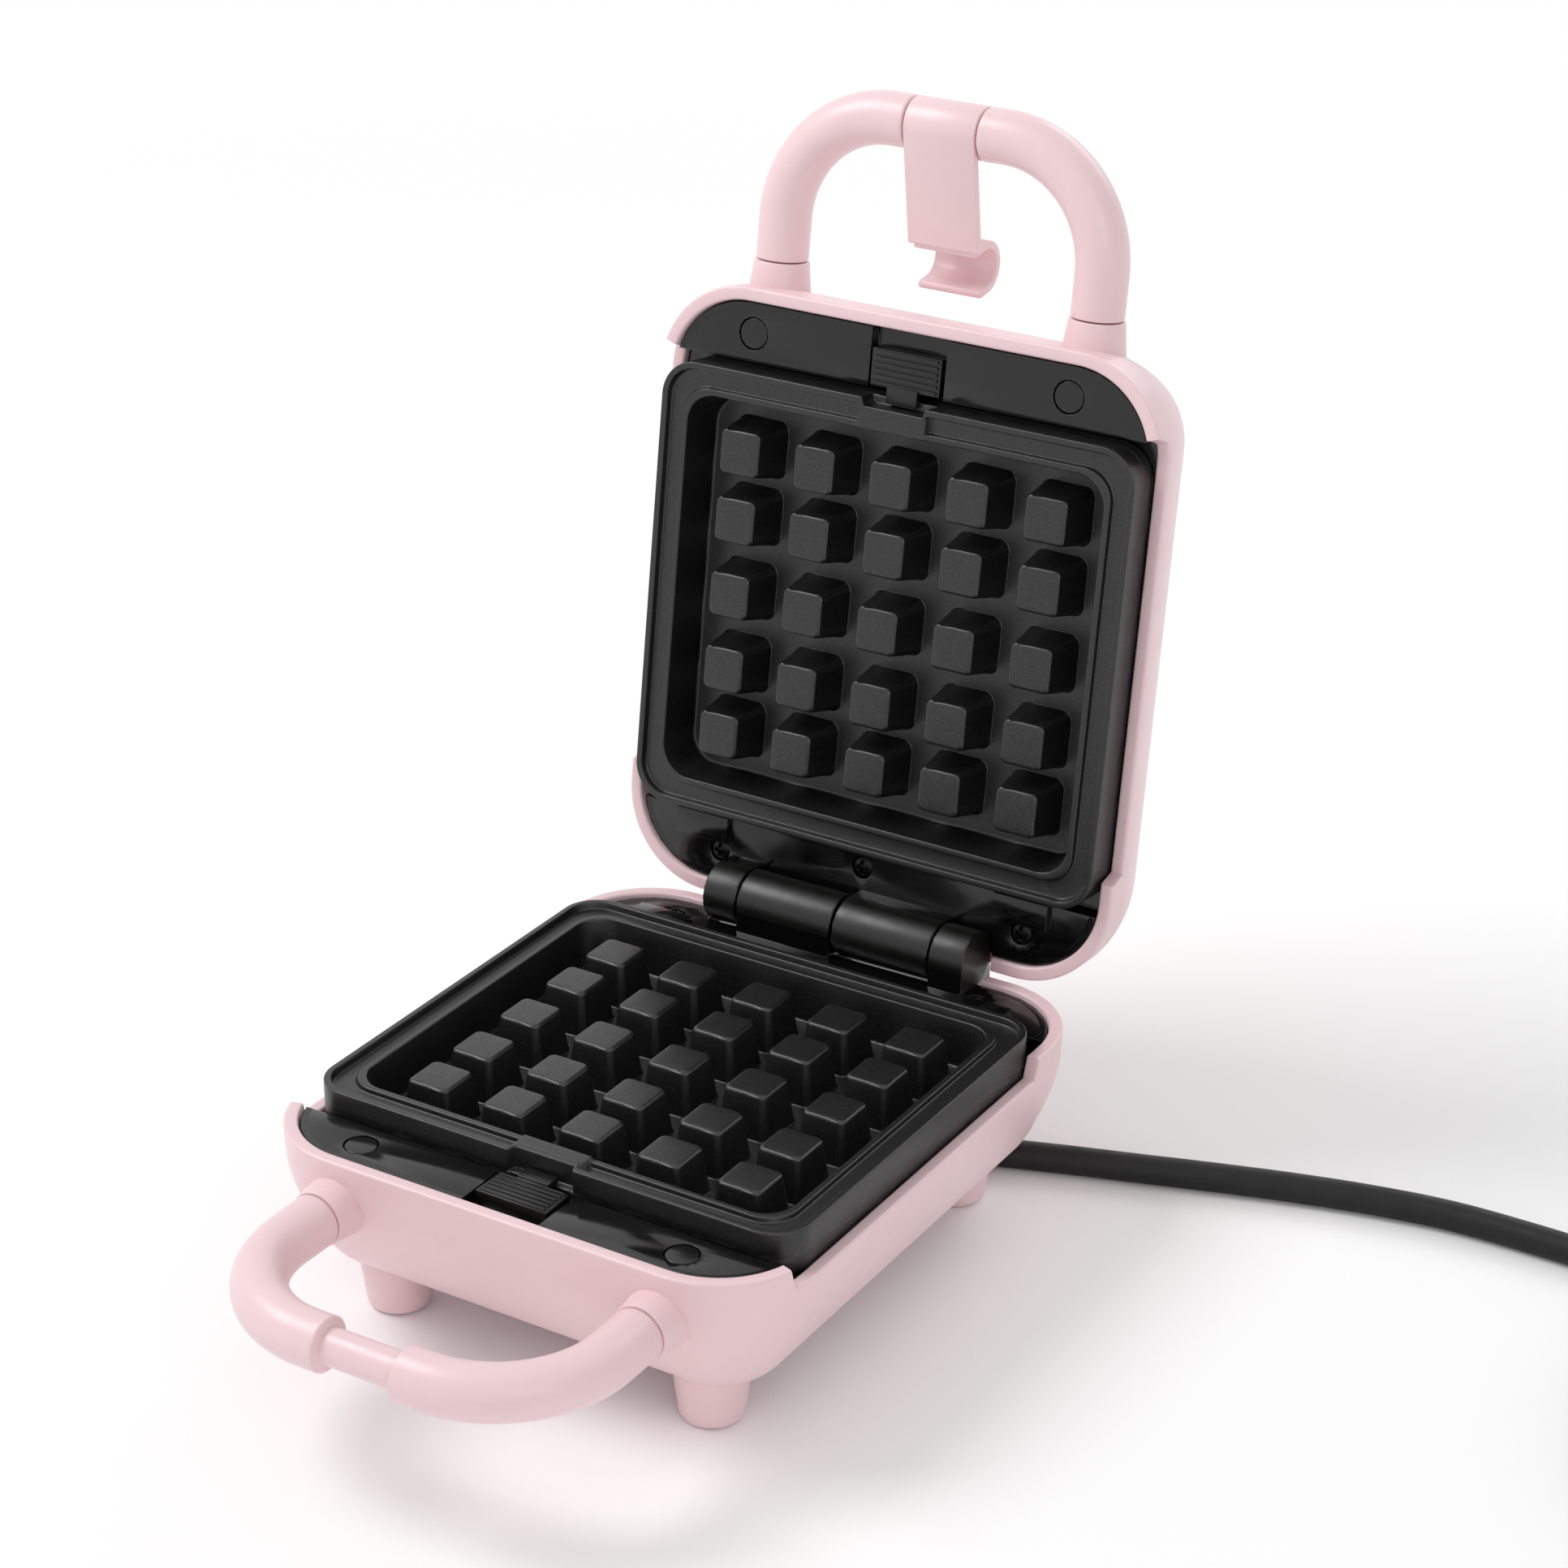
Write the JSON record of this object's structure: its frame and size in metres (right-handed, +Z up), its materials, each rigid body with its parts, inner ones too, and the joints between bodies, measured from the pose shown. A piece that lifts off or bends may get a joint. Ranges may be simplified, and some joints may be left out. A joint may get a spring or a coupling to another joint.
{
  "type": "multi snack maker",
  "caption": "Compact hinged snack maker: pink rounded lid and base, waffle plates, release sliders, tube handles with a hanging latch clip, and a mains lead",
  "frame": {"origin": "on the floor under the feet, in the middle of the box of the appliance without its lead", "axes": "X runs along the hinge, -Y points at the user and the base handle, Z is up from the feet"},
  "size_m": [0.4729, 0.2536, 0.2443],
  "materials": {
    "pink_shell": "dusty pink moulded plastic with a soft satin shine",
    "black_frame": "black heat-resistant moulded plastic, low sheen",
    "plate_coating": "cast aluminium under a dark speckled non-stick coating, with paler brushed walls",
    "plated_steel": "bright zinc plated steel",
    "blackened_screw": "blackened steel screw",
    "element_sheath": "dull steel sheath of a tubular element",
    "tray_steel": "thin aluminised sheet steel",
    "glass_sleeve": "woven glass fibre sleeving",
    "pale_ceramic": "off-white ceramic and heat-resistant insulation",
    "red_lens": "clear red lamp lens",
    "green_lens": "clear green lamp lens",
    "brass": "bright brass pins",
    "cord_rubber": "black flexible rubber, low sheen"
  },
  "bodies": {
    "base": {"base_shell": "pink_shell", "base_frame": "black_frame", "base_cooking_plate": "plate_coating", "base_slider_spring": "plated_steel", "base_rear_screw_right": "blackened_screw", "base_rear_screw_middle": "blackened_screw", "base_rear_screw_left": "blackened_screw", "base_front_screw_left": "plated_steel", "base_screw_cover_left": "black_frame", "base_front_screw_right": "plated_steel", "base_screw_cover_right": "black_frame", "base_handle": "pink_shell", "base_heating_element": "element_sheath", "base_reflector_tray": "tray_steel", "base_hinge_harness": "glass_sleeve", "hinge_pin_left": "plated_steel", "hinge_pin_right": "plated_steel", "thermostat": "pale_ceramic", "terminal_block": "pale_ceramic", "live_lead": "cord_rubber", "neutral_lead": "pale_ceramic", "cord_strain_relief": "cord_rubber", "cord_lead": "cord_rubber", "cord_coil": "cord_rubber", "cord_tail": "cord_rubber", "cord_tie": "cord_rubber", "plug_body": "cord_rubber", "plug_pin_live": "brass", "plug_pin_neutral": "brass", "plug_pin_earth": "brass"},
    "lid": {"lid_shell": "pink_shell", "lid_frame": "black_frame", "lid_cooking_plate": "plate_coating", "lid_slider_spring": "plated_steel", "lid_rear_screw_right": "blackened_screw", "lid_rear_screw_middle": "blackened_screw", "lid_rear_screw_left": "blackened_screw", "lid_front_screw_left": "plated_steel", "lid_screw_cover_left": "black_frame", "lid_front_screw_right": "plated_steel", "lid_screw_cover_right": "black_frame", "lid_handle": "pink_shell", "lid_heating_element": "element_sheath", "lid_reflector_tray": "tray_steel", "lid_hinge_harness": "glass_sleeve", "thermal_fuse_sleeve": "glass_sleeve", "thermal_fuse": "plated_steel", "power_light_lens": "red_lens", "ready_light_lens": "green_lens", "power_lamp": "pale_ceramic", "ready_lamp": "pale_ceramic"},
    "latch": {"latch_clip": "pink_shell"},
    "base_slider": {"base_release_slider": "black_frame"},
    "lid_slider": {"lid_release_slider": "black_frame"}
  },
  "joints": [
    {"name": "lid_hinge", "type": "hinge", "parent": "base", "child": "lid", "pos_m": [0, 0.06939, 0.05245], "axis": [1, 0, 0], "range_deg": [0, 98.2]},
    {"name": "latch_pivot", "type": "hinge", "parent": "lid", "child": "latch", "pos_m": [0, 0.1129, 0.23804], "axis": [1, 0, 0], "range_deg": [-105.2, 75]},
    {"name": "base_release_slide", "type": "slide", "parent": "base", "child": "base_slider", "axis": [0, -1, 0], "range_m": [0, 0.0034], "stiffness_N_per_m": 600, "springref_m": -0.001, "deforming": ["base_slider_spring"]},
    {"name": "lid_release_slide", "type": "slide", "parent": "lid", "child": "lid_slider", "axis": [0, 0.1426, 0.9898], "range_m": [0, 0.0034], "stiffness_N_per_m": 600, "springref_m": -0.001, "deforming": ["lid_slider_spring"]}
  ]
}
